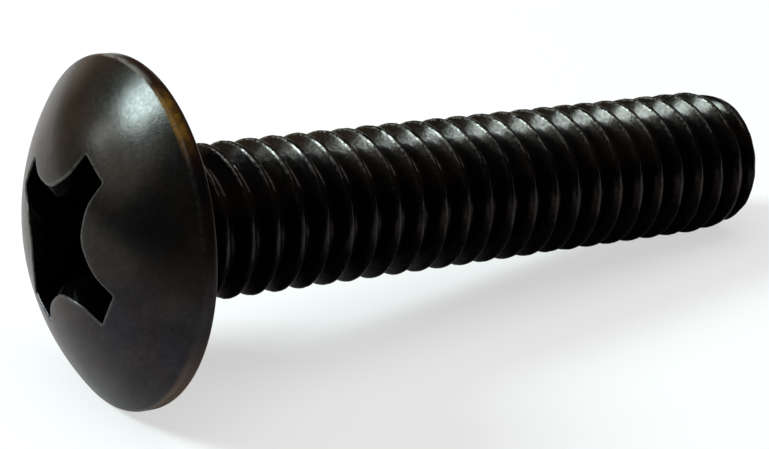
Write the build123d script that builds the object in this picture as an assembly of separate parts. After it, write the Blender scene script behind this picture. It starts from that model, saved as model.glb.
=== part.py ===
from build123d import *
import os
from math import atan2, ceil, cos, degrees, pi, radians, sin, sqrt, tan

# Truss head machine screw, lying as it comes to rest: the rim of its head and
# the crests near its tip touch the ground, and its axis dips toward the tip.
# Millimetres, +Z up, +X toward the tip. Sizes are those of a 5/16 inch coarse
# thread screw, 1 1/2 inch long.

# Driving dimensions
thread_diameter = 7.74
thread_pitch = 1.411
shank_length = 37.4
head_diameter = 17.1
head_height = 4.1
rim_height = 0.8
recess_diameter = 9.32
wing_width = 1.94
recess_depth = 4.9
tip_taper_length = 1.8
tip_taper_drop = 0.34
tip_bevel_length = 0.3
tip_bevel_drop = 0.55
wing_turn = 25.0
thread_turn = -37.5
steps_per_turn = 24

# Thread form: sixty degree flanks, flat crests, flat roots
crest_radius = thread_diameter / 2
thread_depth = 0.6134 * thread_pitch
root_radius = crest_radius - thread_depth
crest_width = thread_pitch / 8
flank_width = thread_depth * tan(radians(30))
last_crest = shank_length - tip_bevel_length - tip_taper_length

# Plain neck under the head, as thick as the blank that the thread is rolled on
neck_radius = crest_radius - 0.52 * thread_depth
neck_length = 0.9 * thread_pitch
neck_bevel = 0.35 * thread_pitch
run_out_slope = tan(radians(40))

# Head: a slice of a sphere on a low cylindrical rim with small bevels at its edges. The seam
# of the rim is turned half a facet, so that the screw lies on a flat of it, not on a corner
head_radius = head_diameter / 2
dome_height = head_height - rim_height
dome_radius = (head_radius**2 + dome_height**2) / (2 * dome_height)
rim_bevel = 0.18 * rim_height
seam_turn = 1.957

# Cross recess: four tapering wings, and between them four lands that each end in a
# blunt ridge, which is worn back to a broad round lip where it meets the dome. The ridge
# is set back from the corner between two wings by a share of their free length
wing_end_slope = tan(radians(26.5))
flank_slope = tan(radians(4))
land_angle = 138
land_setback = 0.105
lip_setback = 0.18
lip_depth = 0.08 * recess_depth
lip_share = 0.73
ridge_share = 0.3


def dome_level(radius):
    """Height of the dome above the underside at a distance from the axis."""
    return sqrt(dome_radius**2 - radius**2) - (dome_radius - head_height)


def recess_section(level, setback, share):
    """Cross outline at a height above the underside, its lands set back and a share of each rounded off."""
    below = dome_level(recess_diameter / 2) - level
    reach = recess_diameter / 2 - below * wing_end_slope
    half = wing_width / 2 - below * flank_slope
    ridge = half + setback * (reach - half)
    spread = radians((land_angle - 90) / 2)
    shoulder = ridge + (ridge - half) / tan(spread)
    land_face = (ridge - half) / sin(spread)
    rounding = share * land_face / (tan(pi / 4 - spread) + 2 * tan(spread / 2))
    quarter = [Vector(reach, -half), Vector(reach, half), Vector(shoulder, half),
               Vector(ridge, ridge), Vector(half, shoulder)]
    points = [point.rotate(Axis.Z, 90 * turn) for turn in range(4) for point in quarter]
    cross = make_face(Polyline(*points, close=True))
    shoulders = cross.vertices().sort_by_distance((0, 0, 0))[4:12]
    cross = fillet(shoulders, 2 * rounding)
    ridges = cross.vertices().sort_by_distance((0, 0, 0))[:4]
    return Plane((0, 0, -level)) * fillet(ridges, rounding)


def recess_cutter():
    """Driver recess as a solid, from above the dome down into the neck."""
    land_mouth = (wing_width + lip_setback * (recess_diameter - wing_width)) / sqrt(2)
    mouth = dome_level(land_mouth)
    bottom = head_height - recess_depth
    socket = loft([recess_section(head_height + lip_depth, lip_setback, lip_share),
                   recess_section(mouth, lip_setback, lip_share),
                   recess_section(mouth - lip_depth, land_setback, ridge_share),
                   recess_section(bottom, land_setback, ridge_share)], ruled=True)
    point = Pos(0, 0, -bottom) * Cone(wing_width / 3, wing_width / 10, wing_width / 4,
                                      align=(Align.CENTER, Align.CENTER, Align.MIN))
    return Rot(0, 0, wing_turn) * (socket + point)


def head_and_neck():
    """Domed head and the plain neck under it, about the screw's axis."""
    neck_end = neck_length + (neck_radius - root_radius) / run_out_slope
    disc = make_face(Polyline((0, 0), (0, -head_height), (head_radius - rim_bevel, -head_height),
                              (head_radius, -rim_height), (head_radius, -rim_bevel),
                              (head_radius - rim_bevel, 0), close=True))
    neck = make_face(Polyline((0, -rim_bevel), (0, neck_end), (root_radius, neck_end),
                              (neck_radius, neck_length), (neck_radius, neck_bevel),
                              (neck_radius + neck_bevel, 0),
                              (neck_radius + neck_bevel, -rim_bevel), close=True))
    ball = Pos(0, 0, dome_radius - head_height) * Rot(90, 0, 0) * Sphere(dome_radius)
    head = (Rot(0, 0, seam_turn) * revolve(Plane.XZ * disc, Axis.Z)) & ball
    return head + revolve(Plane.XZ * neck, Axis.Z)


def helix_points(radius, start, steps):
    """Points of a right-hand helix that begins at a given height, one for each straight step."""
    turns = [step / steps_per_turn for step in range(steps + 1)]
    return [Vector(radius * cos(2 * pi * turn), radius * sin(2 * pi * turn),
                   start + thread_pitch * turn) for turn in turns]


def strip(near, far, level):
    """Flat faces between two rows of points: one for each step if level, else two triangles."""
    faces = []
    for a, b, c, d in zip(near, near[1:], far[1:], far):
        outlines = [[a, b, c, d]] if level else [[a, b, c], [a, c, d]]
        faces += [Face(Wire.make_polygon(outline)) for outline in outlines]
    return faces


def rod_end(rows):
    """Flat step and one turn of ramp that close the thread's surface at one end of the rod."""
    root = rows[0]
    centre = [Vector(0, 0, point.Z) for point in root]
    section = [centre[0]] + [row[0] for row in rows] + [centre[-1]]
    return [Face(Wire.make_polygon(section))] + strip(centre, root, False)


def thread_rod():
    """Rod with the whole thread as its surface, longer than the shank at both ends."""
    profile = [(root_radius, 0), (crest_radius, flank_width),
               (crest_radius, flank_width + crest_width),
               (root_radius, 2 * flank_width + crest_width), (root_radius, thread_pitch)]
    steps = steps_per_turn * (ceil(shank_length / thread_pitch) + 2)
    start = -thread_pitch - flank_width - crest_width / 2
    rows = [helix_points(radius, start + rise, steps + steps_per_turn) for radius, rise in profile]
    faces = []
    for side, (near, far) in enumerate(zip(rows, rows[1:])):
        level = profile[side][0] == profile[side + 1][0]
        faces += strip(near[:steps + 1], far[:steps + 1], level)
    for first in (0, steps):
        faces += rod_end([row[first:first + steps_per_turn + 1] for row in rows])
    return Rot(0, 0, thread_turn) * Solid(Shell(faces))


def thread_envelope():
    """Turned shape that trims the crests to the neck at one end, and lowers and bevels them at the tip."""
    begin = 0.5 * neck_length
    margin = 0.1 * thread_depth
    rise = crest_radius + margin - neck_radius
    bevel_radius = crest_radius - tip_taper_drop
    outline = make_face(Polyline((0, begin), (neck_radius - margin, begin),
                                 (neck_radius - margin, neck_length),
                                 (crest_radius + margin, neck_length + rise / run_out_slope),
                                 (crest_radius + margin, last_crest), (crest_radius, last_crest),
                                 (bevel_radius, shank_length - tip_bevel_length),
                                 (bevel_radius - tip_bevel_drop, shank_length),
                                 (0, shank_length), close=True))
    return revolve(Plane.XZ * outline, Axis.Z)


def truss_screw():
    """Whole screw upright on its axis, underside of the head at zero and tip up."""
    head = head_and_neck() - recess_cutter()
    return head + (thread_rod() & thread_envelope())


def resting_angle():
    """Angle by which the axis dips when the rim and a flat step of the last full crest touch the ground."""
    step_level = crest_radius * cos(pi / steps_per_turn)
    return degrees(atan2(head_radius - step_level, last_crest + rim_bevel))


def resting_place(upright):
    """Placing that lays the screw on the ground, tip toward +X, its box centred on the origin."""
    dip = radians(resting_angle())
    tip_over = Plane((0, 0, 0), x_dir=(sin(dip), 0, cos(dip)), z_dir=(cos(dip), 0, -sin(dip))).location
    box = (tip_over * upright).bounding_box()
    return Pos(-box.center().X, -box.center().Y, -box.min.Z) * tip_over


os.makedirs("parts", exist_ok=True)
upright = truss_screw()
place = resting_place(upright)
screw = place * upright
export_step(screw.solids()[0], "parts/truss_screw.step")
print("axis dips by", round(resting_angle(), 3), "degrees")
for name, level in (("dome top", -head_height), ("underside", 0), ("tip", shank_length)):
    print(name, "is at", (place * Pos(0, 0, level)).position)
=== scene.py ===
# %% [markdown]
# # A truss head screw in black oxide
#
# The object is one piece of steel: a machine screw with a wide, low, domed head,
# a cross recess for the driver and a thread over the whole shank. It lies on its
# side, so the rim of the head and the thread near the tip touch the ground.
#
# The frame holds the same screw as a plain solid, with a thread of flat faces.
# This lesson makes a finer skin in its place, with a smooth helix and soft
# edges, and then gives it the look of worn black oxide under studio light.

# %% Load the frame
from math import cos, pi, radians, sin, sqrt, tan

import bmesh
import bpy
import numpy as np
from mathutils import Matrix, Vector, noise


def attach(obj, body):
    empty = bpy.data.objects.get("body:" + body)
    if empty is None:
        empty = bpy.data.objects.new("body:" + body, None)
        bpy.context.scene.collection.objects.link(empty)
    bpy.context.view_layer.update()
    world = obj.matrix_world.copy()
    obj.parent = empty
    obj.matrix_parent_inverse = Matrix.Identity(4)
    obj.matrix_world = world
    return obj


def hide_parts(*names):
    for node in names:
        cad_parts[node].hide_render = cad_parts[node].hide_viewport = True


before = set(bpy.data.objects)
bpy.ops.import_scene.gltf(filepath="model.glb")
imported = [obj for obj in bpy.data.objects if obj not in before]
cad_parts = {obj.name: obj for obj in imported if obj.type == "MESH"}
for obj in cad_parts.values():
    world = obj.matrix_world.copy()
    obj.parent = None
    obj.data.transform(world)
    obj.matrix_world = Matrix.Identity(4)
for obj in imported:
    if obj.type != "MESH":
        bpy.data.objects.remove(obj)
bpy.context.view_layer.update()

# %% [markdown]
# ## Sizes of the screw
#
# Blender works in metres, but a maker thinks of a screw in millimetres. All sizes
# of the screw are in millimetres here, and are turned into metres in one place,
# when the mesh is placed. They are the sizes of the solid, so the skin lies on it.
# Those of the head and the recess follow where they are needed.

# %% Sizes of the thread and the shank
PITCH = 1.411
CREST_RADIUS = 3.87
DEPTH_PER_PITCH = 0.6134
THREAD_DEPTH = DEPTH_PER_PITCH * PITCH
ROOT_RADIUS = CREST_RADIUS - THREAD_DEPTH
SHANK_LENGTH = 37.4
THREAD_TURN = radians(-37.5)

NECK_RADIUS = CREST_RADIUS - 0.52 * THREAD_DEPTH
NECK_LENGTH = 0.9 * PITCH
NECK_BEVEL = 0.35 * PITCH
RUN_OUT_SLOPE = tan(radians(40))

TIP_BEVEL_LENGTH = 0.3
TIP_TAPER_LENGTH = 1.8
TIP_TAPER_DROP = 0.34
TIP_BEVEL_DROP = 0.55
LAST_CREST = SHANK_LENGTH - TIP_BEVEL_LENGTH - TIP_TAPER_LENGTH
TIP_RADIUS = CREST_RADIUS - TIP_TAPER_DROP
print(f"Thread {2 * CREST_RADIUS:.2f} mm wide, pitch {PITCH:.3f} mm, {THREAD_DEPTH:.2f} mm deep")

# %% [markdown]
# ## From the screw's own frame to the ground
#
# It is easiest to draw a screw about its own axis: zero under the head, and the
# axis running up to the tip. The finished object could be turned afterwards, but
# then its place would be in the object and not in the mesh. So one matrix lays
# the points down before they become a mesh. The axis dips a little toward the
# tip, because the head is wider than the thread.

# %% Matrix that lays the screw down
# The dip and the middle of the head's underside are those of the solid
DIP = radians(7.574)
UNDERSIDE = Vector((-16.6651, 0, 8.45642))
METRES_PER_MILLIMETRE = 0.001
along = Vector((cos(DIP), 0, -sin(DIP)))
upward = Vector((sin(DIP), 0, cos(DIP)))
aside = along.cross(upward)
lay_down = Matrix((upward, aside, along)).transposed().to_4x4()
lay_down.translation = UNDERSIDE
place_in_metres = Matrix.Scale(METRES_PER_MILLIMETRE, 4) @ lay_down
print("The tip is at", tuple(round(c, 2) for c in lay_down @ Vector((0, 0, SHANK_LENGTH))), "mm")

# %% [markdown]
# ## The thread
#
# A real thread is rolled: hard dies press a spiral groove into a plain rod, and
# the metal flows out into the crests. Its section is a row of trapezoids, whose
# flanks stand at sixty degrees to each other.
#
# A thread could be made by sweeping that section along a spiral and cutting it
# from a rod, but the cut leaves many thin faces. Here the shank is one grid
# instead. Its columns run round the axis, and its rows climb with the helix, so
# each crest and each root has rows of its own and stays crisp. After one turn, a
# row meets the row that started one pitch higher.

# %% Rows of the grid over one pitch
ROWS_FROM_CREST = [0, 0.055, 0.085, 0.13, 0.21, 0.30, 0.385, 0.42, 0.455, 0.5]
ROW_OFFSETS = np.array([-away for away in reversed(ROWS_FROM_CREST)] + ROWS_FROM_CREST[1:-1])
ROWS = len(ROW_OFFSETS)
COLUMNS = 112
print(ROWS, "rows to a pitch, closest together at the corners of crest and root")

# %% Height of the thread over one pitch
CREST_HALF = 1 / 16
FLANK = DEPTH_PER_PITCH * tan(radians(30))
ROLLED_SOFTNESS = 0.03
SOFTNESS_SAMPLES = 9


def thread_height(offset):
    """Height of the thread over its root, 0 to 1, at an offset from the crest in pitches."""
    window = np.linspace(-ROLLED_SOFTNESS, ROLLED_SOFTNESS, SOFTNESS_SAMPLES)
    away = np.abs((offset[..., None] + window + 0.5) % 1 - 0.5)
    return np.clip((CREST_HALF + FLANK - away) / FLANK, 0, 1).mean(axis=-1)


print("Height at crest, flank and root:", thread_height(np.array([0, 0.25, 0.5])).round(2))

# %% [markdown]
# The thread doesn't start at full depth. Under the head a short plain neck is
# left, as thick as the blank, and the thread rises out of it. At the other end
# the crests get lower over the last turn or so, and a small bevel breaks the edge
# of the tip, so that the screw finds its hole.
#
# Both could be cut with turned solids. On a grid it is simpler to see them as
# limits on the radius, which depend only on the place along the axis.

# %% Neck and tip as limits on the radius
def neck_radius_at(z):
    """Radius of the plain neck, with a soft foot at the head and its run-out."""
    foot = NECK_RADIUS + np.clip(NECK_BEVEL - z, 0, NECK_BEVEL) ** 2 / NECK_BEVEL
    return foot - np.clip(z - NECK_LENGTH, 0, None) / RUN_OUT_SLOPE


def crest_limit_at(z):
    """Largest radius that the thread may have."""
    rise = NECK_RADIUS + np.clip(z - NECK_LENGTH, 0, None) / RUN_OUT_SLOPE
    tip = np.interp(z, [LAST_CREST, SHANK_LENGTH - TIP_BEVEL_LENGTH, SHANK_LENGTH],
                    [CREST_RADIUS, TIP_RADIUS, TIP_RADIUS - TIP_BEVEL_DROP])
    return np.minimum(rise, tip)


print("Limit 1 mm before the end:", round(float(crest_limit_at(SHANK_LENGTH - 1)), 2), "mm")

# %% Shank as one grid of points
SPARE_TURNS = 3
UNDER_THE_HEAD = -0.05

turns = np.arange(-SPARE_TURNS, int(SHANK_LENGTH / PITCH) + SPARE_TURNS)
rows_offset = np.tile(ROW_OFFSETS, len(turns))
rows_start = np.repeat(turns, ROWS) * PITCH + rows_offset * PITCH
around = np.arange(COLUMNS) * 2 * pi / COLUMNS
climb = PITCH * (around - THREAD_TURN) / (2 * pi)
shank_z = np.clip(rows_start[:, None] + climb[None, :], UNDER_THE_HEAD, SHANK_LENGTH)
height = np.broadcast_to(thread_height(rows_offset)[:, None], shank_z.shape)
shank_r = np.minimum(ROOT_RADIUS + THREAD_DEPTH * height, crest_limit_at(shank_z))
shank_r = np.maximum(shank_r, neck_radius_at(shank_z))
print("Shank grid:", shank_r.shape, "points")

# %% [markdown]
# Handling leaves its marks on the crests first: small dents and flats where one
# screw has knocked against another. Bump in the material would show them, but
# the outline of each crest would stay perfect. So a little noise lowers the
# crests here and there, and leaves the flanks, the roots and the end face alone.

# %% Knocks on the crests
CREST_FROM = 0.7
SEED_SHIFT = Vector((1, 7, 13))
KNOCK_SIZE, KNOCK_DEPTH, KNOCK_FROM = 0.9, 0.05, 0.15
NICK_SIZE, NICK_DEPTH = 0.3, 0.04


def dents(x, y, z, size, seed):
    """Noise of -1 to 1 at points in millimetres, with features of the given size."""
    points = zip(x.ravel() / size, y.ravel() / size, z.ravel() / size)
    values = [noise.noise(Vector(point) + SEED_SHIFT * seed) for point in points]
    return np.array(values).reshape(x.shape)


before_the_end = np.clip((SHANK_LENGTH - shank_z) / TIP_BEVEL_LENGTH, 0, 1)
nearly_crest = np.clip((height - CREST_FROM) / (1 - CREST_FROM), 0, 1) * before_the_end
shank_x, shank_y = shank_r * np.cos(around), shank_r * np.sin(around)
knocks = KNOCK_DEPTH * np.clip(dents(shank_x, shank_y, shank_z, KNOCK_SIZE, 3) - KNOCK_FROM, 0, 1)
nicks = NICK_DEPTH * np.clip(dents(shank_x, shank_y, shank_z, NICK_SIZE, 5), 0, 1)
shank_r = shank_r - nearly_crest * (knocks + nicks)
print(f"The deepest mark on a crest is {(nearly_crest * (knocks + nicks)).max():.3f} mm deep")

# %% Faces of the shank
def shank_mesh():
    """Points and faces of the shank."""
    points = np.stack([shank_r * np.cos(around), shank_r * np.sin(around), shank_z], axis=-1)
    count = len(rows_start)
    faces = []
    for row in range(count - 1):
        for column in range(COLUMNS):
            last = column == COLUMNS - 1
            shift = ROWS if last else 0
            if row + 1 + shift >= count:
                continue
            after = 0 if last else column + 1
            here, there = row * COLUMNS + column, (row + shift) * COLUMNS + after
            faces.append((here, there, there + COLUMNS, here + COLUMNS))
    return points.reshape(-1, 3), faces


shank_points, shank_faces = shank_mesh()
print("Shank:", len(shank_points), "points and", len(shank_faces), "faces")

# %% [markdown]
# ## The recess
#
# The cross recess is punched while the head is formed. It has four wings that get
# narrower and shorter with depth. Between them stand four lands, each with a
# blunt ridge toward the axis and a broad worn lip at the top.
#
# The hole could be cut from the head with a boolean, but that leaves long thin
# triangles that shade badly. Here the outline of the cross is drawn at a number
# of levels, always with the same number of points. Rows of faces then join one
# level to the next, and the uppermost to the dome.

# %% Sizes of the head
HEAD_RADIUS = 8.55
HEAD_HEIGHT = 4.1
RIM_HEIGHT = 0.8
DOME_HEIGHT = HEAD_HEIGHT - RIM_HEIGHT
DOME_RADIUS = (HEAD_RADIUS**2 + DOME_HEIGHT**2) / (2 * DOME_HEIGHT)
print(f"Head {2 * HEAD_RADIUS:.1f} mm wide, {HEAD_HEIGHT:.1f} mm high, dome of radius {DOME_RADIUS:.1f} mm")

# %% Sizes of the recess
RECESS_REACH = 4.66
RECESS_DEPTH = 4.9
WING_HALF = 0.97
WING_TURN = radians(25)
WING_END_SLOPE = tan(radians(26.5))
WING_SIDE_SLOPE = tan(radians(4))
LAND_SPREAD = radians(24)
LAND_SETBACK = 0.105
RIDGE_ROUNDING = 0.3
LIP_SETBACK = 0.18
LIP_ROUNDING = 0.73
LIP_DEPTH = 0.08 * RECESS_DEPTH
LAND_MOUTH = sqrt(2) * (WING_HALF + LIP_SETBACK * (RECESS_REACH - WING_HALF))
print(f"Recess {2 * RECESS_REACH:.1f} mm across, {RECESS_DEPTH:.1f} mm deep, wings {2 * WING_HALF:.2f} mm")

# %% Outline with rounded corners
POINTS_PER_ARC = 7
STEPS_PER_EDGE = 11


def round_corner(before, corner, after, radius):
    """Points on the arc that rounds a corner, and their directions out of the outline."""
    back, ahead = (before - corner).normalized(), (after - corner).normalized()
    half = back.angle(ahead) / 2
    middle = corner + (back + ahead).normalized() * radius / sin(half)
    start = corner + back * radius / tan(half) - middle
    end = corner + ahead * radius / tan(half) - middle
    outward = 1 if back.x * ahead.y - back.y * ahead.x < 0 else -1
    steps = [start.lerp(end, i / (POINTS_PER_ARC - 1)).normalized() for i in range(POINTS_PER_ARC)]
    return [(middle + step * radius, step * outward) for step in steps]


def rounded_outline(corners):
    """Points and directions of a closed outline, from (corner, radius) pairs."""
    arcs, outline = [], []
    for i, (corner, radius) in enumerate(corners):
        before, after = corners[i - 1][0], corners[(i + 1) % len(corners)][0]
        arcs.append(round_corner(before, corner, after, radius))
    for i, arc in enumerate(arcs):
        outline += arc
        (start, start_way), (end, end_way) = arc[-1], arcs[(i + 1) % len(arcs)][0]
        for step in range(1, STEPS_PER_EDGE):
            part = step / STEPS_PER_EDGE
            outline.append((start.lerp(end, part), start_way.lerp(end_way, part).normalized()))
    return np.array([point for point, way in outline]), np.array([way for point, way in outline])


print("Each corner has", POINTS_PER_ARC, "points, and each edge", STEPS_PER_EDGE, "steps")

# %% Levels of the recess
def dome_level(radius):
    """Height of the dome over the underside at a distance from the axis."""
    return np.sqrt(DOME_RADIUS**2 - radius**2) - (DOME_RADIUS - HEAD_HEIGHT)


WING_MOUTH = float(dome_level(RECESS_REACH))
MOUTH = float(dome_level(LAND_MOUTH))
THROAT = MOUTH - LIP_DEPTH
BOTTOM = HEAD_HEIGHT - RECESS_DEPTH
print(f"The lands' lip lies from {MOUTH:.2f} to {THROAT:.2f} mm, the bottom at {BOTTOM:.2f} mm")

# %% The cross at one level
WING_CORNER = 0.1


def cross_at(level, lip):
    """The whole cross at a level. The lip share is 1 at the mouth and 0 below the lip."""
    below = WING_MOUTH - level
    reach = RECESS_REACH - below * WING_END_SLOPE
    half = WING_HALF - below * WING_SIDE_SLOPE
    ridge = half + (LAND_SETBACK + (LIP_SETBACK - LAND_SETBACK) * lip) * (reach - half)
    shoulder = ridge + (ridge - half) / tan(LAND_SPREAD)
    face = (ridge - half) / sin(LAND_SPREAD)
    share = RIDGE_ROUNDING + (LIP_ROUNDING - RIDGE_ROUNDING) * lip
    rounding = share * face / (tan(pi / 4 - LAND_SPREAD) + 2 * tan(LAND_SPREAD / 2))
    quarter = [((reach, -half), WING_CORNER), ((reach, half), WING_CORNER),
               ((shoulder, half), 2 * rounding), ((ridge, ridge), rounding),
               ((half, shoulder), 2 * rounding)]
    corners = []
    for turn in range(4):
        spin = Matrix.Rotation(WING_TURN + turn * pi / 2, 2)
        corners += [(spin @ Vector(point), radius) for point, radius in quarter]
    return rounded_outline(corners)


AROUND_HEAD = len(cross_at(THROAT, 0)[0])
print("The cross has", AROUND_HEAD, "points at each level")

# %% [markdown]
# The rim of the mouth isn't at one level, because it lies on the dome. Each point
# of the outline is followed up its wall until it meets the dome. A few rounds of
# "how high is the dome here, and where is the wall at that height" settle it.

# %% Where the walls meet the dome
LOW_LEVEL, HIGH_LEVEL = 3.0, 3.8
ROUNDS = 12


def wall_at(heights, lip):
    """Points of the wall, each at its own height, and their directions into the land."""
    (low, low_way), (high, high_way) = cross_at(LOW_LEVEL, lip), cross_at(HIGH_LEVEL, lip)
    share = (np.broadcast_to(heights, (AROUND_HEAD,)) - LOW_LEVEL) / (HIGH_LEVEL - LOW_LEVEL)
    return low + (high - low) * share[:, None], high_way


mouth_z = np.full(AROUND_HEAD, MOUTH)
for _ in range(ROUNDS):
    mouth_plan, mouth_way = wall_at(mouth_z, 1)
    mouth_z = dome_level(np.linalg.norm(mouth_plan, axis=1))
print(f"The mouth lies between {mouth_z.min():.2f} and {mouth_z.max():.2f} mm over the underside")

# %% [markdown]
# ## The head
#
# A screw's head is pressed cold from the end of a wire, and the dome, the rim and
# the recess come from the same tools. It could be made by turning its section round
# the axis, but the cross isn't round. So the head is a stack of rings with the same
# number of points. They start at the bottom of the recess, climb its walls, widen
# into the lip of the lands, turn over the soft edge of the mouth, run out over the
# dome to the rim, and come back under the head to the shank.
#
# Each ring also notes how deep it is in the recess and how worn it is, for the
# finish later on.

# %% A ring of the head
rings = []
recess_share = []
wear_share = []


def add_ring(plan, z, inside, worn):
    """Adds a ring of points, with how deep it is in the recess and how worn it is."""
    heights = np.broadcast_to(np.asarray(z, dtype=float), (AROUND_HEAD,))
    rings.append(np.column_stack([plan, heights]))
    recess_share.append(np.full(AROUND_HEAD, inside, dtype=float))
    wear_share.append(np.full(AROUND_HEAD, worn, dtype=float))


print("A ring has", AROUND_HEAD, "points")

# %% Blunt point at the bottom of the recess
# Each step of the point: its radius, and how deep it lies under the bottom
POINT_PROFILE = [(0.02, 0.5), (0.2, 0.48), (0.45, 0.24), (0.65, 0.0)]
FLAT_CIRCLE, FLAT_CROSS = 0.3, 0.5

bottom_plan = wall_at(BOTTOM, 0)[0]
bottom_angle = np.arctan2(bottom_plan[:, 1], bottom_plan[:, 0])
small_circle = np.column_stack([np.cos(bottom_angle), np.sin(bottom_angle)])
for radius, drop in POINT_PROFILE:
    add_ring(small_circle * radius, BOTTOM - drop, 1, 0)
add_ring(small_circle * FLAT_CIRCLE + bottom_plan * FLAT_CROSS, BOTTOM, 1, 0)
print("Point and flat bottom:", len(rings), "rings")

# %% Walls, lip and soft edge of the recess
WALL_RINGS = 14
LIP_RINGS = 10
LIP_CURVE = 1.4
EDGE_SOFTNESS = 0.07
EDGE_STEPS = (0.25, 0.5, 0.75, 1)

throat_z = mouth_z - LIP_DEPTH
for step in np.linspace(0, 1, WALL_RINGS):
    z = BOTTOM + (throat_z - BOTTOM) * step
    add_ring(wall_at(z, 0)[0], z, 1, 0)
for step in np.linspace(0, 1, LIP_RINGS + 1)[1:]:
    z = throat_z + (LIP_DEPTH - EDGE_SOFTNESS) * step
    inside, worn = 1 - 0.5 * step, 0.5 * step**6
    add_ring(wall_at(z, step**LIP_CURVE)[0], z, inside, worn)
for step in EDGE_STEPS:
    turn = step * pi / 2
    plan = mouth_plan + mouth_way * EDGE_SOFTNESS * (1 - cos(turn))
    z = dome_level(np.linalg.norm(plan, axis=1)) - EDGE_SOFTNESS * (1 - sin(turn))
    inside = 0.3 * (1 - step)
    add_ring(plan, z, inside, 1)
DEEP_RINGS = len(rings) - len(EDGE_STEPS)
print("Recess:", len(rings), "rings")

# %% Dome
DOME_RINGS = 49
DOME_EDGE = HEAD_RADIUS - 0.12
# The columns crowd at the wings, so the rim evens them out by this share
EVENING_OUT = 0.55
WORN_DOME_SHARE = 1 / 25
WEAR_AT_MOUTH = 0.4

start_plan = rings[-1][:, :2]
start_angle = np.unwrap(np.arctan2(start_plan[:, 1], start_plan[:, 0]))
even_angle = start_angle[0] + np.arange(AROUND_HEAD) * 2 * pi / AROUND_HEAD
rim_angle = (1 - EVENING_OUT) * start_angle + EVENING_OUT * even_angle
rim_circle = np.column_stack([np.cos(rim_angle), np.sin(rim_angle)])
for step in np.linspace(0, 1, DOME_RINGS + 1)[1:]:
    plan = start_plan * (1 - step) + rim_circle * DOME_EDGE * step
    worn = max(0, 1 - step / WORN_DOME_SHARE) * WEAR_AT_MOUTH
    add_ring(plan, dome_level(np.linalg.norm(plan, axis=1)), 0, worn)
print("Columns of the dome are in order:", bool((np.diff(rim_angle) > 0).all()))

# %% Rim and underside
# Each step of the rim's profile: how far out from its radius, how high from its top, how worn
RIM_PROFILE = [(-0.06, 0.055, 0.6), (-0.02, 0.005, 1), (0, -0.06, 0.7), (0, -0.2, 0.1), (0, -0.35, 0),
               (0, -0.5, 0), (-0.005, -0.6, 0.3), (-0.03, -0.69, 0.8), (-0.08, -0.755, 0.8),
               (-0.15, -0.79, 0.4), (-0.25, -0.8, 0.1)]
UNDERSIDE_RADII = (7.6, 6.6, 5.6, 4.6, 4.1, 3.8)

for outward, rise, worn in RIM_PROFILE:
    add_ring(rim_circle * (HEAD_RADIUS + outward), RIM_HEIGHT + rise, 0, worn)
for radius in UNDERSIDE_RADII:
    add_ring(rim_circle * radius, 0, 0, 0)
print("Head:", len(rings), "rings")

# %% [markdown]
# ## One skin
#
# The head and the shank could be two objects, but the real screw is one piece, so
# they go into one mesh. The points also carry a few numbers for the finish: how
# worn the place is, how near to a crest, how deep in the recess, and where it lies
# round the axis. They could be painted by hand or worked out by the material. As plain attributes they are
# exact, and stay with the mesh.

# %% Build the mesh
def ring_faces(count, first):
    """Faces between rings of the head, closed round the axis."""
    faces = []
    for ring in range(count - 1):
        low, high = first + ring * AROUND_HEAD, first + (ring + 1) * AROUND_HEAD
        for k in range(AROUND_HEAD):
            after = (k + 1) % AROUND_HEAD
            faces.append((low + k, low + after, high + after, high + k))
    return faces


head_points = np.concatenate(rings) * np.array([1, 1, -1])
head_faces = ring_faces(len(rings), len(shank_points))
all_points = np.concatenate([shank_points, head_points])
skin = bpy.data.meshes.new("truss_screw_skin")
skin.from_pydata([place_in_metres @ Vector(point) for point in all_points], [], shank_faces + head_faces)
print("Skin:", len(skin.vertices), "points and", len(skin.polygons), "faces")

# %% Numbers for the finish
none_on_shank, none_on_head = np.zeros(len(shank_points)), np.zeros(len(head_points))
off_axis = np.linalg.norm(all_points[:, :2], axis=1)
away_from_zero = np.maximum(off_axis, 0.01)
numbers = {
    "crest": np.concatenate([nearly_crest.ravel(), none_on_head]),
    "worn": np.concatenate([none_on_shank, *wear_share]),
    "recess": np.concatenate([none_on_shank, *recess_share]),
    "off_axis": off_axis,
    "height_in_head": -all_points[:, 2],
    "up_side": all_points[:, 0] / away_from_zero,
    "near_side": all_points[:, 1] / away_from_zero,
}
for name, values in numbers.items():
    skin.attributes.new(name, "FLOAT", "POINT").data.foreach_set("value", values.astype(np.float32))
print("Each point carries", len(numbers), "numbers")

# %% Two finishes on one mesh
# The finish of the head is made first, further down, so it has the first slot
HEAD_SLOT, SHANK_SLOT = 0, 1
# The walls of the recess take the thread's finish, which paints shade deep in the recess
shank_and_recess = len(shank_faces) + (DEEP_RINGS - 1) * AROUND_HEAD
slots = np.full(len(skin.polygons), HEAD_SLOT, dtype=np.int32)
slots[:shank_and_recess] = SHANK_SLOT
skin.polygons.foreach_set("material_index", slots)
print("Faces with the shank's darker finish:", shank_and_recess)

# %% [markdown]
# At both ends of the shank many points of the grid fall together, because the
# rows that run past the end are pressed into its plane. They are merged. What is
# left at the tip is one round edge, and a flat face closes it. A narrow border
# round that face keeps the soft shading of the bevel from running over it.

# %% Clean up and close the tip
MERGE_DISTANCE = 2e-6
ZERO_LENGTH = 1e-7
END_FACE_BORDER = 0.00015


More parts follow.
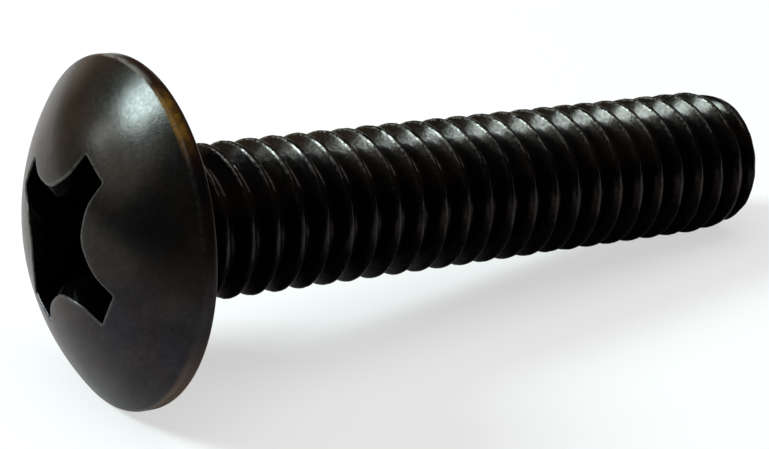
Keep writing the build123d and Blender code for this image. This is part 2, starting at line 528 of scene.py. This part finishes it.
def clean(mesh):
    """Merges points that fell together at the ends, and closes the tip with a flat face."""
    work = bmesh.new()
    work.from_mesh(mesh)
    bmesh.ops.remove_doubles(work, verts=work.verts, dist=MERGE_DISTANCE)
    bmesh.ops.dissolve_degenerate(work, edges=work.edges, dist=ZERO_LENGTH)
    tip_edges = [edge for edge in work.edges if edge.is_boundary and edge.verts[0].co.x > 0]
    cap = bmesh.ops.holes_fill(work, edges=tip_edges, sides=0)["faces"]
    print("The tip's edge has", len(tip_edges), "edges and is closed with", len(cap), "face")
    for face in cap:
        face.material_index = SHANK_SLOT
        face.normal_update()
        if face.normal.dot(along) < 0:
            face.normal_flip()
    bmesh.ops.inset_individual(work, faces=cap, thickness=END_FACE_BORDER)
    work.to_mesh(mesh)
    work.free()
    mesh.shade_smooth()


clean(skin)
triangles = sum(len(face.vertices) - 2 for face in skin.polygons)
print("Skin after cleaning:", len(skin.vertices), "points,", triangles, "triangles")

# %% The skin stands for the solid
screw = bpy.data.objects.new("truss_screw_skin", skin)
bpy.context.scene.collection.objects.link(screw)
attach(screw, "root")
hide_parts("truss_screw")
print(screw.name, "rides on the one body of the frame")

# %% [markdown]
# ## Black oxide
#
# Black oxide is a thin hard film grown on the steel in a hot salt bath and sealed
# with oil. It isn't paint: it mirrors a lamp softly and nearly nothing else, it
# turns brown where it gets thin, and bare steel shows where it is rubbed off.
#
# It could be made as a dark metal, but a metal mirrors as much from the front as
# along its edge. The film is a clear layer over black, which mirrors about two
# percent from the front and much more at a glancing angle. So the shader stays a
# plain dielectric with a low specular level, and only the bare spots are metal.
#
# Each finish is a small net of nodes. A class with short names for them keeps the
# lines readable.

# %% Short names for the nodes
class Recipe:
    """The nodes of one material or world, with short names for those that it needs."""

    def __init__(self, owner):
        owner.use_nodes = True
        self.owner = owner
        self.nodes, self.links = owner.node_tree.nodes, owner.node_tree.links

    def set(self, socket, value):
        """Links a socket or writes a plain value."""
        if isinstance(value, bpy.types.NodeSocket):
            self.links.new(value, socket)
        elif isinstance(value, tuple):
            socket.default_value = (*value, 1)
        elif value is not None:
            socket.default_value = value

    def stored(self, name):
        """A number that the mesh carries."""
        node = self.nodes.new("ShaderNodeAttribute")
        node.attribute_name = name
        return node.outputs["Fac"]

    def calc(self, operation, a, b=None):
        """The result of a sum, kept between 0 and 1."""
        node = self.nodes.new("ShaderNodeMath")
        node.operation, node.use_clamp = operation, True
        self.set(node.inputs[0], a)
        self.set(node.inputs[1], b)
        return node.outputs[0]

    def product(self, first, *others):
        """All the given numbers multiplied."""
        for other in others:
            first = self.calc("MULTIPLY", first, other)
        return first

    def ramp(self, value, low, high, out_low=0.0, out_high=1.0):
        """A number that runs softly from one value to another as its input crosses a range."""
        node = self.nodes.new("ShaderNodeMapRange")
        node.interpolation_type = "SMOOTHSTEP"
        self.set(node.inputs["Value"], value)
        ends = {"From Min": low, "From Max": high, "To Min": out_low, "To Max": out_high}
        for name, number in ends.items():
            node.inputs[name].default_value = number
        return node.outputs["Result"]

    def between(self, value, rise_start, rise_end, fall_start, fall_end):
        """1 in the middle of a range and 0 outside it, with a soft rise and a soft fall."""
        rise, fall = self.ramp(value, rise_start, rise_end), self.ramp(value, fall_end, fall_start)
        return self.product(rise, fall)

    def dot(self, a, direction):
        """How far a vector reaches in a direction."""
        node = self.nodes.new("ShaderNodeVectorMath")
        node.operation = "DOT_PRODUCT"
        self.set(node.inputs[0], a)
        node.inputs[1].default_value = direction
        return node.outputs["Value"]

    def grain(self, size_mm, detail, seed):
        """Noise with features of about the given size."""
        node = self.nodes.new("ShaderNodeTexNoise")
        node.noise_dimensions = "4D"
        for name, number in (("W", seed), ("Scale", 1000 / size_mm), ("Detail", detail)):
            node.inputs[name].default_value = number
        self.set(node.inputs["Vector"], self.nodes.new("ShaderNodeTexCoord").outputs["Object"])
        return node.outputs["Fac"]

    def blend(self, share, a, b, kind="MIX"):
        """A colour that goes from a to b, or has b added to it."""
        node = self.nodes.new("ShaderNodeMix")
        node.data_type, node.blend_type = "RGBA", kind
        self.set(node.inputs["Factor"], share)
        self.set(node.inputs[6], a)
        self.set(node.inputs[7], b)
        return node.outputs[2]


print("Nodes have short names")

# %% [markdown]
# ## The film itself
#
# The bath never colours the steel evenly. Brown clouds a few millimetres wide lie
# in the black, and a few specks are lighter. The sheen is uneven too, in spots
# smaller than half a millimetre and in broader patches, from the oil. Colour and
# sheen get their own noises, because on the real film they don't go together.

# %% Colour and sheen of the film
FILM_BLACK = (0.0020, 0.0018, 0.0018)
FILM_BROWN = (0.0075, 0.0046, 0.0030)
FILM_SPECKS = (0.035, 0.028, 0.022)


def black_film(finish, seed):
    """Colour of the film: black with brown clouds and a few lighter specks."""
    clouds = finish.ramp(finish.grain(4.0, 4.0, seed), 0.42, 0.66)
    specks = finish.ramp(finish.grain(0.25, 3.0, seed + 1), 0.68, 0.80, 0.0, 0.25)
    return finish.blend(specks, finish.blend(clouds, FILM_BLACK, FILM_BROWN), FILM_SPECKS)


def mottled(finish, low, high, seed):
    """How much the film mirrors: it varies in small spots and in broader patches."""
    spots = finish.ramp(finish.grain(0.18, 6.0, seed), 0.32, 0.68, low, high)
    patches = finish.ramp(finish.grain(1.3, 4.0, seed + 1), 0.35, 0.65, 0.82, 1.12)
    return finish.product(spots, patches)


print("The film is black with brown clouds", FILM_BROWN)

# %% Put a finish together
BARE_STEEL = (0.42, 0.40, 0.37)
BUMP_STRENGTH = 0.22
BUMP_HEIGHT = 0.00002


def finish_up(finish, film, bare_steel_and_painted_glint, gloss, tint, roughness, seed):
    """Links colour, metal, roughness and bump, and how much the film mirrors and in which tint."""
    shader = finish.nodes["Principled BSDF"]
    finish.set(shader.inputs["Base Color"], finish.blend(bare_steel_and_painted_glint, film, BARE_STEEL))
    finish.set(shader.inputs["Metallic"], bare_steel_and_painted_glint)
    finish.set(shader.inputs["Roughness"], finish.ramp(finish.grain(0.2, 5.0, seed), 0.3, 0.7, *roughness))
    finish.set(shader.inputs["Specular IOR Level"], gloss)
    finish.set(shader.inputs["Specular Tint"], tint)
    bump = finish.nodes.new("ShaderNodeBump")
    bump.inputs["Strength"].default_value = BUMP_STRENGTH
    bump.inputs["Distance"].default_value = BUMP_HEIGHT
    finish.set(bump.inputs["Height"], finish.grain(0.11, 4.0, seed + 2))
    finish.set(shader.inputs["Normal"], bump.outputs["Normal"])
    screw.data.materials.append(finish.owner)
    print(finish.owner.name, "has", len(finish.nodes), "nodes")


print("The bump of the film is", BUMP_HEIGHT * 1000, "mm high")

# %% [markdown]
# ## Finish of the head
#
# The head mirrors more than the thread, because the punch pressed it even. Along
# its rim the film is thin: it is red-brown at the top, golden in a short brushed
# streak where it was handled, and brown again low down.
#
# The colours could be painted on, but a painting is only as fine as its pixels,
# and the skin would have to be laid out flat for it. Here each colour is laid over
# the one before it, in a share worked out from the numbers that the mesh carries.

# %% Thin film along the rim
RIM_RED_BROWN = (0.020, 0.0070, 0.0035)
RIM_GOLDEN = (0.14, 0.070, 0.010)
RIM_LOW_BROWN = (0.050, 0.029, 0.015)

head_finish = Recipe(bpy.data.materials.new("black_oxide_head"))
up_side, near_side = head_finish.stored("up_side"), head_finish.stored("near_side")
from_axis = head_finish.stored("off_axis")
rim_band = head_finish.ramp(from_axis, 8.38, 8.5)
brushed = head_finish.ramp(head_finish.grain(0.35, 3.0, 21.0), 0.35, 0.6, 0.35, 1.0)
red_brown = head_finish.product(rim_band, head_finish.ramp(up_side, 0.6, 0.8))
golden = head_finish.product(rim_band, brushed,
                             head_finish.ramp(up_side, 0.68, 0.82),
                             head_finish.ramp(near_side, 0.26, 0.46),
                             head_finish.ramp(head_finish.stored("height_in_head"), 0.12, 0.5))
low_brown = head_finish.product(rim_band, head_finish.ramp(up_side, -0.2, -0.6))
film = head_finish.blend(red_brown, black_film(head_finish, 1.0), RIM_RED_BROWN)
film = head_finish.blend(golden, film, RIM_GOLDEN)
film = head_finish.blend(low_brown, film, RIM_LOW_BROWN)
print("Rim: red-brown at the top, a golden streak on the near side, brown low down")

# %% [markdown]
# Bare steel shows clearly on the crease between dome and rim at the very top, partly as wear and partly as
# a painted highlight where the overhead light catches the crease. Where the head was rubbed it shows as a
# faint thin line round the mouth of the recess.
# Noise breaks both up, so that neither is an even stripe.

# %% Bare steel on the head, and a painted highlight on the rim's crease
MOST_WEAR_AND_HIGHLIGHT_AT_RIM = 0.5
MOST_WEAR_AT_RECESS = 0.12

edge_left = head_finish.ramp(head_finish.grain(0.3, 3.0, 5.0), 0.34, 0.56, 0.2, 1.0)
at_rim = head_finish.ramp(from_axis, 7.5, 8.0)
# Partly wear, partly a painted highlight: the crease is bare only at the very top, where the overhead light
# catches it
rim_wear_and_painted_highlight = head_finish.product(at_rim, head_finish.ramp(up_side, 0.955, 0.985, 0.02, MOST_WEAR_AND_HIGHLIGHT_AT_RIM))
recess_wear = head_finish.ramp(at_rim, 0.0, 1.0, MOST_WEAR_AT_RECESS, 0.0)
bare_steel_and_painted_glint = head_finish.product(head_finish.stored("worn"), edge_left,
                           head_finish.calc("MAXIMUM", rim_wear_and_painted_highlight, recess_wear))
print("Steel shows by up to", MOST_WEAR_AND_HIGHLIGHT_AT_RIM, "at the rim and", MOST_WEAR_AT_RECESS, "at the recess")

# %% [markdown]
# The tint of the specular layer colours what the film mirrors. Here it is a painted reflection colour: a
# little warm on top, and between bluish and violet low on the dome. The colour of the film under it is
# black there, so only the tint of the specular layer shows this. The golden streak mirrors less, which lets
# its own colour through.

# %% Sheen of the head, with a painted reflection colour
WARM_PAINTED_REFLECTION = (1.0, 0.94, 0.90)
VIOLET_PAINTED_REFLECTION = (0.95, 0.82, 1.0)
BLUISH_PAINTED_REFLECTION = (0.70, 0.77, 1.0)

gloss = head_finish.product(mottled(head_finish, 0.22, 0.30, 31.0),
                            head_finish.ramp(golden, 0.0, 1.0, 1.0, 0.3))
hue = head_finish.ramp(head_finish.grain(2.5, 3.0, 35.0), 0.4, 0.6)
low_painted_reflection = head_finish.blend(hue, VIOLET_PAINTED_REFLECTION, BLUISH_PAINTED_REFLECTION)
# Painted reflection colour: warm on the upper side, bluish and violet on the low side
tint = head_finish.blend(head_finish.ramp(up_side, 0.1, -0.5), WARM_PAINTED_REFLECTION, low_painted_reflection)
finish_up(head_finish, film, bare_steel_and_painted_glint, gloss, tint, roughness=(0.20, 0.25), seed=7.0)

# %% [markdown]
# ## Finish of the thread and the recess
#
# The thread mirrors less: oil and fine dust stay in the grooves. Its sheen is sharper, though, because the
# dies burnish the flanks. On top the edges of each crest are bare steel in a thin broken line, partly wear
# and partly painted glints where the lamp catches them. At the waist the flats of the crests are faintly
# bare, which is a painted reflection of the floor. Under the screw and deep in the recess the film is
# darker and mirrors less, which is painted shade.
#
# The wear could come from a node that finds sharp edges, but that would wear all sides alike. The stored
# numbers keep it on top and at the waist, where the glints and the reflection are painted.

# %% Bare steel on the crests, with painted glints and a painted reflection
MOST_WEAR_AND_GLINT_AT_EDGES = 0.34
MOST_PAINTED_REFLECTION_ON_FLATS = 0.07

shank_finish = Recipe(bpy.data.materials.new("black_oxide_thread"))
crest, shank_up_side = shank_finish.stored("crest"), shank_finish.stored("up_side")
# Partly wear, partly painted glints: the edges of the crests are bare only on top, where the lamp catches
# them
crest_edge_wear_and_glint = shank_finish.product(
    shank_finish.between(crest, 0.45, 0.75, 0.85, 1.0),
    shank_finish.ramp(shank_finish.grain(0.2, 5.0, 4.0), 0.42, 0.6),
    shank_finish.ramp(shank_up_side, 0.72, 1.0, 0.01, MOST_WEAR_AND_GLINT_AT_EDGES))
# Painted reflection: the flats of the crests are faintly bare at the waist, where they mirror the floor
waist = shank_finish.between(shank_up_side, -0.30, -0.05, 0.20, 0.40)
crest_flat_painted_reflection = shank_finish.product(
    shank_finish.ramp(crest, 0.9, 1.0),
    shank_finish.ramp(waist, 0.0, 1.0, 0.0, MOST_PAINTED_REFLECTION_ON_FLATS),
    shank_finish.ramp(shank_finish.grain(0.9, 3.0, 6.0), 0.35, 0.6, 0.2, 1.0))
bare_steel_and_painted_glint = shank_finish.calc("MAXIMUM", crest_edge_wear_and_glint, crest_flat_painted_reflection)
print("Steel shows by up to", MOST_WEAR_AND_GLINT_AT_EDGES, "at the edges of the crests")

# %% Colour and sheen of the thread, with painted shade below and in the recess
SHADED_FILM = (0.0007, 0.0007, 0.0008)
OILY_TINT = (1.0, 0.86, 0.80)

in_recess = shank_finish.ramp(shank_finish.stored("recess"), 0.05, 0.3)
# Painted shade: the sheen drops deep in the recess and on the underside of the thread
gloss = shank_finish.product(mottled(shank_finish, 0.12, 0.25, 41.0),
                             shank_finish.ramp(in_recess, 0.0, 1.0, 1.0, 0.05),
                             shank_finish.ramp(shank_up_side, -0.3, 0.1, 0.3, 1.0))
# Painted shade: the film is darker deep in the recess and everywhere below the top of the thread
painted_shade_share = shank_finish.calc("MAXIMUM", in_recess, shank_finish.ramp(shank_up_side, 0.7, 0.3))
film = shank_finish.blend(painted_shade_share, black_film(shank_finish, 11.0), SHADED_FILM)
finish_up(shank_finish, film, bare_steel_and_painted_glint, gloss, OILY_TINT, roughness=(0.13, 0.22), seed=17.0)

# %% [markdown]
# ## The floor
#
# The screw lies on a white sheet. The white could come from more light on the
# floor, but that light would fall on the screw as well. So the floor shines a
# little by itself where the camera looks at it, and the rest of it still takes
# the light of the lamps and the shadow of the screw.
#
# The film mirrors the floor too, and it has to, or the low side of the screw
# would be flat black. What it sees is the same floor, a little warmer, with its
# shadow, and dim a short way in front of the screw, as if the sheet ended there.

# %% A pale sheet that the camera sees as white
WHITE_SHEET = (0.92, 0.92, 0.92)
SHEET_IN_THE_FILM = (0.93, 0.80, 0.79)
CAMERA_GLOW_SHARE = 0.6
FILM_GLOW = 0.08
AWAY_FROM_CAMERA = (0.324, 0.946, 0)
DIM_UNTIL, BRIGHT_FROM = -0.055, -0.020

bpy.ops.mesh.primitive_plane_add(size=6, location=(0, 0, 0))
floor = bpy.context.object
floor.name = "floor"
pale = Recipe(bpy.data.materials.new("pale_floor"))
looked_at = pale.nodes.new("ShaderNodeLightPath").outputs
by_film = pale.calc("MAXIMUM", looked_at["Is Glossy Ray"], looked_at["Is Transmission Ray"])
floor_place = pale.nodes.new("ShaderNodeTexCoord").outputs["Object"]
dimmed = pale.ramp(pale.dot(floor_place, AWAY_FROM_CAMERA), DIM_UNTIL, BRIGHT_FROM, 0.9, 0.3)
share = pale.calc("MAXIMUM", pale.product(looked_at["Is Camera Ray"], CAMERA_GLOW_SHARE),
                  pale.product(by_film, dimmed))
print("Floor of", round(floor.dimensions.x, 1), "m")

# %% Matt sheet and its glow, mixed
matt = pale.nodes["Principled BSDF"]
pale.set(matt.inputs["Roughness"], 1.0)
pale.set(matt.inputs["Specular IOR Level"], 0.0)
pale.set(matt.inputs["Base Color"], pale.blend(by_film, WHITE_SHEET, SHEET_IN_THE_FILM))
glow = pale.nodes.new("ShaderNodeEmission")
pale.set(glow.inputs["Strength"], pale.ramp(looked_at["Is Camera Ray"], 0, 1, FILM_GLOW, 1.0))
both = pale.nodes.new("ShaderNodeMixShader")
for socket, value in zip(both.inputs, (share, matt.outputs[0], glow.outputs[0])):
    pale.set(socket, value)
pale.set(pale.nodes["Material Output"].inputs["Surface"], both.outputs[0])
floor.data.materials.append(pale.owner)
print(pale.owner.name, "has", len(pale.nodes), "nodes")

# %% [markdown]
# ## Lamps
#
# A black glossy thing shows mostly what it mirrors. One small strong lamp stands
# behind the head and to the left: the dome and the head side of the thread mirror
# it. A faint one beside it lights the flanks between the crests. A wide panel
# overhead lights the floor.
#
# Point lamps could do it too, but their highlights would be hard dots. A square
# lamp with a real size gives the soft broad highlight of a studio.

# %% Soft lamps
def panel(name, azimuth, elevation, distance, size, watts, tint):
    """Square soft lamp that looks at the screw from a direction, azimuth 0 at the front."""
    a, e = radians(azimuth), radians(elevation)
    data = bpy.data.lights.new(name, "AREA")
    data.size, data.energy, data.color = size, watts, tint
    lamp = bpy.data.objects.new(name, data)
    way = Vector((sin(a) * cos(e), -cos(a) * cos(e), sin(e)))
    lamp.location = way * distance
    lamp.rotation_euler = way.to_track_quat("Z", "Y").to_euler()
    bpy.context.scene.collection.objects.link(lamp)
    print(name, "shines with", watts, "W")


panel("small_lamp_behind_left", azimuth=-129.5, elevation=41, distance=0.5, size=0.15,
      watts=2.6, tint=(0.77, 1.0, 1.0))
panel("faint_lamp_beside_it", azimuth=-134, elevation=22, distance=0.5, size=0.09,
      watts=0.11, tint=(0.95, 1.0, 0.96))
panel("wide_panel_overhead", azimuth=0, elevation=88, distance=1.0, size=0.9,
      watts=5.8, tint=(1.0, 0.97, 0.96))

# %% [markdown]
# ## Room
#
# The film mirrors the room as well as the lamps. The room is nearly dark, and
# brighter behind the screw than behind the camera, which keeps the near side
# dark. A picture of a real studio could stand round the screw, but three soft
# lights in the world's own colour are enough, and nothing has to be loaded.

# %% Soft lights of the room
DARK_ROOM = (0.03, 0.03, 0.03)
# Each light: its direction, where it starts and where it is full, and its colour
ROOM_LIGHTS = [
    ((-0.35, 0.90, 0.20), 0.62, 0.97, (0.23, 0.16, 0.08)),
    ((0.15, 1.0, 0.0), 0.93, 1.0, (0.42, 0.38, 0.36)),
    ((-0.79, 0.42, 0.45), 0.935, 0.98, (1.0, 0.97, 0.88)),
]

room = Recipe(bpy.data.worlds.new("room"))
bpy.context.scene.world = room.owner
way_out = room.nodes.new("ShaderNodeTexCoord").outputs["Generated"]
colour = DARK_ROOM
for direction, start, full, light in ROOM_LIGHTS:
    facing = room.dot(way_out, Vector(direction).normalized())
    colour = room.blend(room.ramp(facing, start, full), colour, light, "ADD")
room.set(room.nodes["Background"].inputs["Color"], colour)
print("Room has", len(ROOM_LIGHTS), "soft lights")

# %% [markdown]
# ## Camera
#
# The photograph was taken from close by, so the head looks large and the tip
# small. A long lens from far away couldn't show that. The camera's place was
# found by fitting the known sizes of the screw to its outline in the photograph.

# %% Camera at the viewing angle of the photograph
CAMERA_AZIMUTH, CAMERA_ELEVATION = radians(-33.772), radians(24.456)
CAMERA_PLACE = Vector((-66.861, -97.098, 58.232))
CAMERA_LENS, CAMERA_SENSOR = 117.38, 36

camera_data = bpy.data.cameras.new("camera")
camera_data.lens, camera_data.sensor_width = CAMERA_LENS, CAMERA_SENSOR
camera_data.clip_start = 0.005
camera = bpy.data.objects.new("camera", camera_data)
back = Vector((sin(CAMERA_AZIMUTH) * cos(CAMERA_ELEVATION),
               -cos(CAMERA_AZIMUTH) * cos(CAMERA_ELEVATION),
               sin(CAMERA_ELEVATION)))
camera.location = CAMERA_PLACE * METRES_PER_MILLIMETRE
camera.rotation_euler = back.to_track_quat("Z", "Y").to_euler()
bpy.context.scene.collection.objects.link(camera)
bpy.context.scene.camera = camera
bpy.context.scene.view_settings.view_transform = "Standard"
print("Camera at", tuple(round(c, 4) for c in camera.location))
